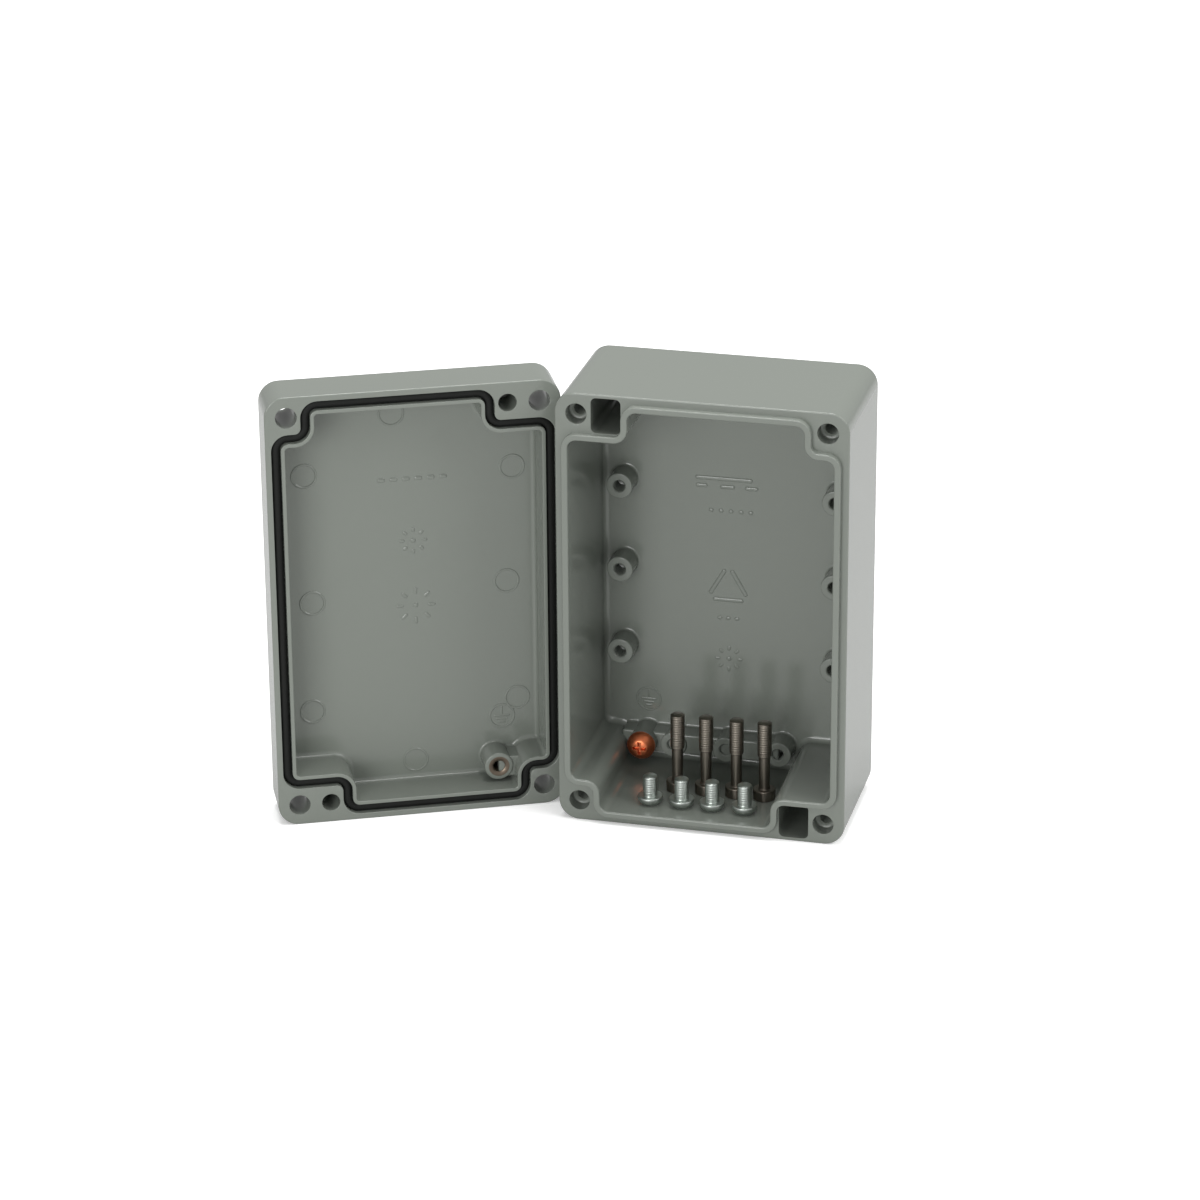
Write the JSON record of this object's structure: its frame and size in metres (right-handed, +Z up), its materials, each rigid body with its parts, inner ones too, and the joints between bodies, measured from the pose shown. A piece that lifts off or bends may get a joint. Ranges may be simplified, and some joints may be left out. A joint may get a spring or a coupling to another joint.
{
  "type": "die cast aluminium enclosure",
  "caption": "Small open aluminium enclosure: base with stepped corners, bosses and wall-fixing channels, separate gasketed lid beside it, and its loose screws.",
  "frame": {"origin": "centre of the base's foot, the short side that it stands on", "axes": "+X across the base to the right as its opening is faced, +Y from the opening to the back, +Z up; the lid stands on the -X side"},
  "size_m": [0.1594, 0.0643, 0.125],
  "materials": {
    "casting": "silver-grey powder coat on die cast aluminium",
    "seal": "black rubber",
    "copper_finish": "copper-coloured plating",
    "stainless": "drawn stainless steel",
    "zinc": "bright zinc plating"
  },
  "bodies": {
    "root": {"base": "casting", "lid": "casting", "gasket": "seal", "earth_screw": "copper_finish", "lid_screw_1": "stainless", "lid_screw_2": "stainless", "lid_screw_3": "stainless", "lid_screw_4": "stainless", "plate_screw_1": "zinc", "plate_screw_2": "zinc", "plate_screw_3": "zinc", "plate_screw_4": "zinc"}
  },
  "joints": []
}
